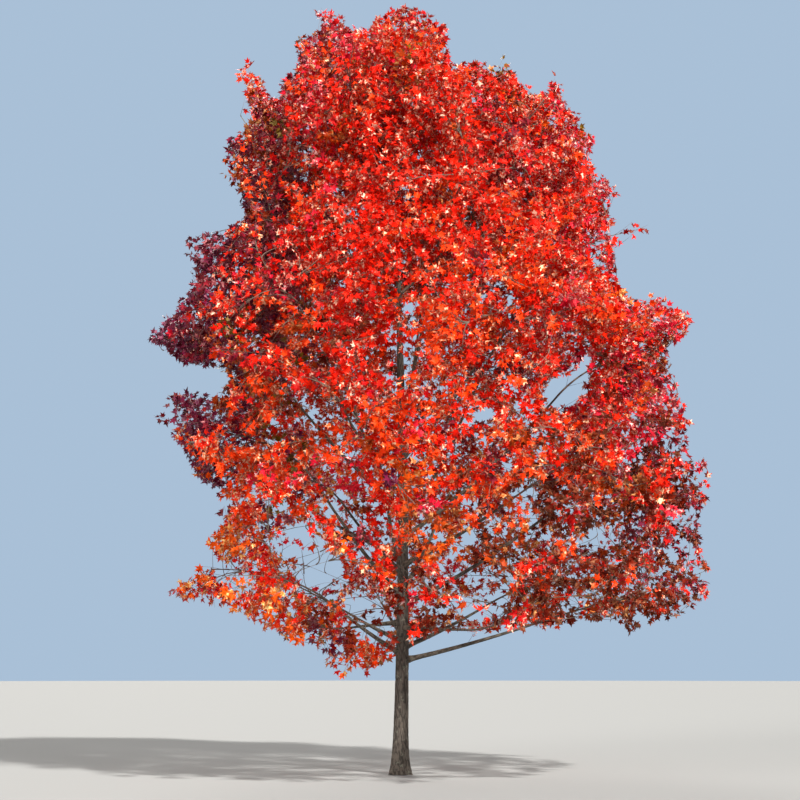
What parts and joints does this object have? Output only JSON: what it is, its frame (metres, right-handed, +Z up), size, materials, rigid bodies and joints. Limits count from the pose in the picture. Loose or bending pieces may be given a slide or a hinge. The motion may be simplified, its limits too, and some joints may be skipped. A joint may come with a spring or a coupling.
{
  "type": "freeman maple tree",
  "caption": "Broad-leaved tree in red autumn leaf: one straight trunk with rising boughs and an egg-shaped crown of foliage masses.",
  "frame": {"origin": "centre of the flat cut under the trunk, at ground level", "axes": "+Z up, +X to the viewer's right and -Y towards the viewer in the picture"},
  "size_m": [8.7226, 8.5271, 11.9721],
  "materials": {
    "bark": "rough grey-brown bark with shallow furrows",
    "leaf_scarlet": "thin leaves, scarlet to orange-red, slightly glossy above",
    "leaf_crimson": "thin leaves, crimson, slightly glossy above",
    "leaf_maroon": "thin leaves, deep purple-red, slightly glossy above",
    "leaf_orange": "thin leaves, orange to olive, slightly glossy above"
  },
  "bodies": {
    "root": {"trunk": "bark", "bough_skirt_1": "bark", "bough_skirt_2": "bark", "bough_skirt_3": "bark", "bough_skirt_4": "bark", "bough_skirt_5": "bark", "bough_skirt_6": "bark", "bough_skirt_7": "bark", "bough_lower_1": "bark", "bough_lower_2": "bark", "bough_lower_3": "bark", "bough_lower_4": "bark", "bough_lower_5": "bark", "bough_lower_6": "bark", "bough_lower_7": "bark", "bough_middle_1": "bark", "bough_middle_2": "bark", "bough_middle_3": "bark", "bough_middle_4": "bark", "bough_middle_5": "bark", "bough_middle_6": "bark", "bough_upper_1": "bark", "bough_upper_2": "bark", "bough_upper_3": "bark", "bough_upper_4": "bark", "bough_upper_5": "bark", "foliage_skirt_1": "leaf_crimson", "foliage_skirt_2": "leaf_crimson", "foliage_skirt_3": "leaf_scarlet", "foliage_skirt_4": "leaf_scarlet", "foliage_skirt_5": "leaf_maroon", "foliage_skirt_6": "leaf_orange", "foliage_skirt_7": "leaf_orange", "foliage_lower_1": "leaf_crimson", "foliage_lower_2": "leaf_scarlet", "foliage_lower_3": "leaf_scarlet", "foliage_lower_4": "leaf_maroon", "foliage_lower_5": "leaf_maroon", "foliage_lower_6": "leaf_scarlet", "foliage_lower_7": "leaf_crimson", "foliage_middle_1": "leaf_crimson", "foliage_middle_2": "leaf_scarlet", "foliage_middle_3": "leaf_scarlet", "foliage_middle_4": "leaf_maroon", "foliage_middle_5": "leaf_scarlet", "foliage_middle_6": "leaf_scarlet", "foliage_upper_1": "leaf_crimson", "foliage_upper_2": "leaf_scarlet", "foliage_upper_3": "leaf_maroon", "foliage_upper_4": "leaf_scarlet", "foliage_upper_5": "leaf_scarlet", "foliage_shoulder_1": "leaf_maroon", "foliage_shoulder_2": "leaf_scarlet", "foliage_shoulder_3": "leaf_scarlet", "foliage_shoulder_4": "leaf_scarlet", "foliage_shoulder_5": "leaf_scarlet", "foliage_crest_1": "leaf_scarlet", "foliage_crest_2": "leaf_scarlet", "foliage_crest_3": "leaf_scarlet", "foliage_leader": "leaf_scarlet"}
  },
  "joints": []
}
